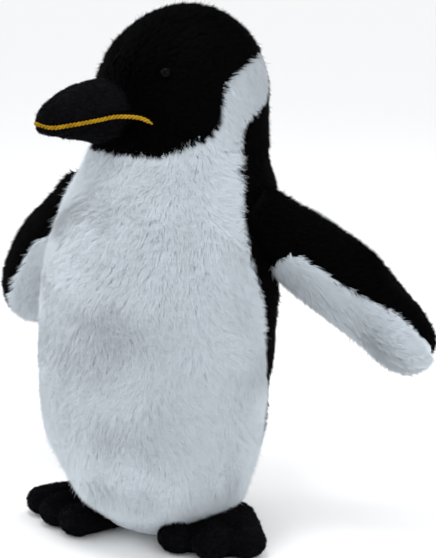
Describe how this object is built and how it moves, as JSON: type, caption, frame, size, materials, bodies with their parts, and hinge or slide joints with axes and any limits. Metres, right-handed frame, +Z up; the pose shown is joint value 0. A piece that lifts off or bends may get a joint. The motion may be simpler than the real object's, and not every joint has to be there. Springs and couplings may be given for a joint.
{
  "type": "plush penguin",
  "caption": "Standing plush penguin with a turned head, spread stuffed flippers, three-toed feet and a weighted flat base.",
  "frame": {"origin": "middle of the flat base under the body, on the resting surface", "axes": "+Z up, the penguin's front faces -Y, its own left is +X"},
  "size_m": [0.3693, 0.1794, 0.388],
  "materials": {
    "white_pile": "long white pile",
    "black_pile": "short black pile",
    "black_fleece": "short-nap black fleece",
    "gold_braid": "gold braid",
    "fibre_filling": "polyester fibre",
    "pouch_cotton": "plain cotton bag of pellets",
    "eye_gloss": "polished black",
    "washer_plastic": "natural nylon"
  },
  "bodies": {
    "body": {"belly_panel": "white_pile", "back_panel_left": "black_pile", "back_panel_right": "black_pile", "base_panel": "black_fleece", "pellet_pouch": "pouch_cotton", "body_filling": "fibre_filling", "tail": "black_pile", "left_foot_upper": "black_fleece", "left_foot_sole": "black_fleece", "left_foot_filling": "fibre_filling", "right_foot_upper": "black_fleece", "right_foot_sole": "black_fleece", "right_foot_filling": "fibre_filling"},
    "head": {"hood_left": "black_pile", "hood_right": "black_pile", "crown_gusset": "black_pile", "chin_gusset": "black_pile", "nape_panel": "black_pile", "ear_patch_left": "white_pile", "ear_patch_right": "white_pile", "head_filling": "fibre_filling", "beak_upper": "black_fleece", "beak_lower": "black_fleece", "beak_filling": "fibre_filling", "mouth_piping": "gold_braid", "eye_left": "eye_gloss", "eye_right": "eye_gloss", "eye_washer_left": "washer_plastic", "eye_washer_right": "washer_plastic"},
    "left_flipper": {"left_flipper_outer": "black_pile", "left_flipper_inner": "white_pile", "left_flipper_filling": "fibre_filling"},
    "right_flipper": {"right_flipper_outer": "black_pile", "right_flipper_inner": "white_pile", "right_flipper_filling": "fibre_filling"}
  },
  "joints": [
    {"name": "neck_turn", "type": "hinge", "parent": "body", "child": "head", "pos_m": [0, 0.018, 0.28], "axis": [0, 0, 1], "range_deg": [-20, 35], "stiffness_Nm_per_rad": 0.6},
    {"name": "left_flipper_raise", "type": "hinge", "parent": "body", "child": "left_flipper", "pos_m": [0.08628, 0.0171, 0.229], "axis": [0.4673, -0.8841, 0], "range_deg": [-30, 60], "stiffness_Nm_per_rad": 0.4},
    {"name": "right_flipper_raise", "type": "hinge", "parent": "body", "child": "right_flipper", "pos_m": [-0.08628, 0.0171, 0.229], "axis": [0.4472, 0.8944, 0], "range_deg": [-20, 70], "stiffness_Nm_per_rad": 0.4}
  ]
}
